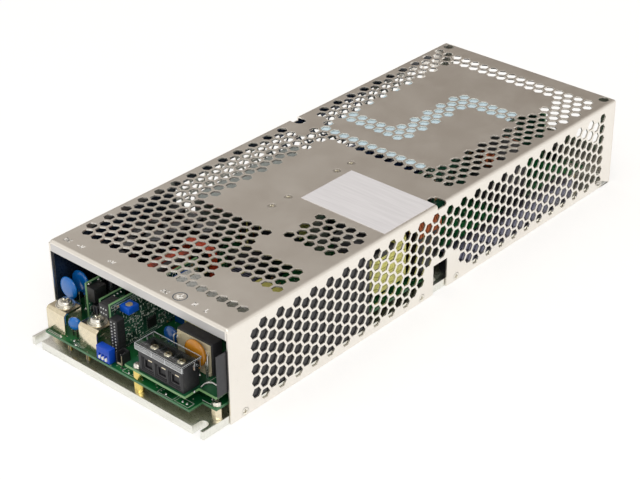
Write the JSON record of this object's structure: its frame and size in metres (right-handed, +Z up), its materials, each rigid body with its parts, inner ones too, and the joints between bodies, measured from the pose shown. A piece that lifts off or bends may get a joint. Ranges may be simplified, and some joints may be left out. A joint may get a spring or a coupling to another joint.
{
  "type": "slim enclosed power supply",
  "caption": "Long slim power supply in a perforated sheet-metal cover on a thick heat-conducting base plate, with its boards and terminals at the open front end.",
  "frame": {"origin": "middle of the whole unit's underside, in the plane of the base plate's lower face", "axes": "+X to the right seen from the terminals, +Y from the terminals towards the closed rear end, +Z up"},
  "size_m": [0.1414, 0.38, 0.0602],
  "materials": {
    "anodised_plate": "brushed with a satin sheen",
    "folded_sheet": "satin light grey",
    "post_metal": "satin",
    "zinc_screws": "zinc plated",
    "label_film": "satin film",
    "grey_film": "smooth film",
    "dark_film": "smooth film",
    "heat_pad": "soft matte",
    "board_green": "solder mask",
    "nickel": "nickel plated",
    "brass": "machined",
    "block_black": "moulded",
    "clear_plastic": "clear moulded plastic",
    "varistor_orange": "dipped coating",
    "disc_blue": "dipped coating",
    "ferrite": "fired ceramic",
    "bobbin_cream": "moulded",
    "copper_wire": "enamelled wire",
    "film_cap_yellow": "moulded case",
    "trimmer_blue": "moulded",
    "switch_blue": "moulded",
    "lever_white": "moulded",
    "can_black": "shrink sleeve",
    "tape_red": "winding tape",
    "tape_yellow": "winding tape"
  },
  "bodies": {
    "chassis": {"base_plate": "anodised_plate", "cover": "folded_sheet", "cover_posts": "post_metal", "cover_side_screws": "zinc_screws", "cover_top_screws": "zinc_screws", "blank_label": "label_film", "right_insulating_film": "grey_film", "left_insulating_film": "dark_film", "cover_heat_pad": "heat_pad", "main_board": "board_green", "ac_board": "board_green", "nickel_standoffs": "nickel", "brass_standoffs": "brass", "board_screws": "zinc_screws", "ac_terminal_block": "block_black", "ac_terminal_clamps": "nickel", "ac_terminal_screws": "nickel", "varistor": "varistor_orange", "line_disc_capacitor": "disc_blue", "dc_disc_capacitors": "disc_blue", "choke_cores": "ferrite", "choke_bobbins": "bobbin_cream", "choke_windings": "copper_wire", "film_capacitors": "film_cap_yellow", "control_board": "board_green", "signal_header": "block_black", "signal_header_pins": "nickel", "trimmer_body": "trimmer_blue", "mode_switch_body": "switch_blue", "aux_header": "block_black", "foot_socket": "block_black", "negative_busbar": "nickel", "positive_busbar": "nickel", "busbar_washers": "zinc_screws", "busbar_screws": "zinc_screws", "sense_board": "board_green", "sense_chip": "block_black", "link_board": "board_green", "small_capacitor": "can_black", "output_capacitors": "can_black", "aux_transformer_core": "ferrite", "aux_transformer_winding": "tape_red", "transformer_cores": "ferrite", "transformer_windings": "tape_yellow", "inductor_cores": "ferrite", "inductor_windings": "copper_wire", "storage_capacitors": "can_black", "driver_board": "board_green", "side_rails": "post_metal", "power_devices": "block_black"},
    "terminal_cover": {"ac_terminal_cover": "clear_plastic"},
    "trimmer_dial": {"trimmer_rotor": "brass"},
    "lever_1": {"mode_switch_lever_1": "lever_white"},
    "lever_2": {"mode_switch_lever_2": "lever_white"},
    "lever_3": {"mode_switch_lever_3": "lever_white"}
  },
  "joints": [
    {"name": "terminal_cover_hinge", "type": "hinge", "parent": "chassis", "child": "terminal_cover", "pos_m": [0.0195, -0.1777, 0.0348], "axis": [-1, 0, 0], "range_deg": [0, 90]},
    {"name": "trimmer_turn", "type": "hinge", "parent": "chassis", "child": "trimmer_dial", "pos_m": [-0.0069, -0.169, 0.043], "axis": [0, 0, 1], "range_deg": [-120, 120]},
    {"name": "mode_switch_slide_1", "type": "slide", "parent": "chassis", "child": "lever_1", "axis": [0, 0, 1], "range_m": [0, 0.0016]},
    {"name": "mode_switch_slide_2", "type": "slide", "parent": "chassis", "child": "lever_2", "axis": [0, 0, 1], "range_m": [0, 0.0016]},
    {"name": "mode_switch_slide_3", "type": "slide", "parent": "chassis", "child": "lever_3", "axis": [0, 0, 1], "range_m": [0, 0.0016]}
  ]
}
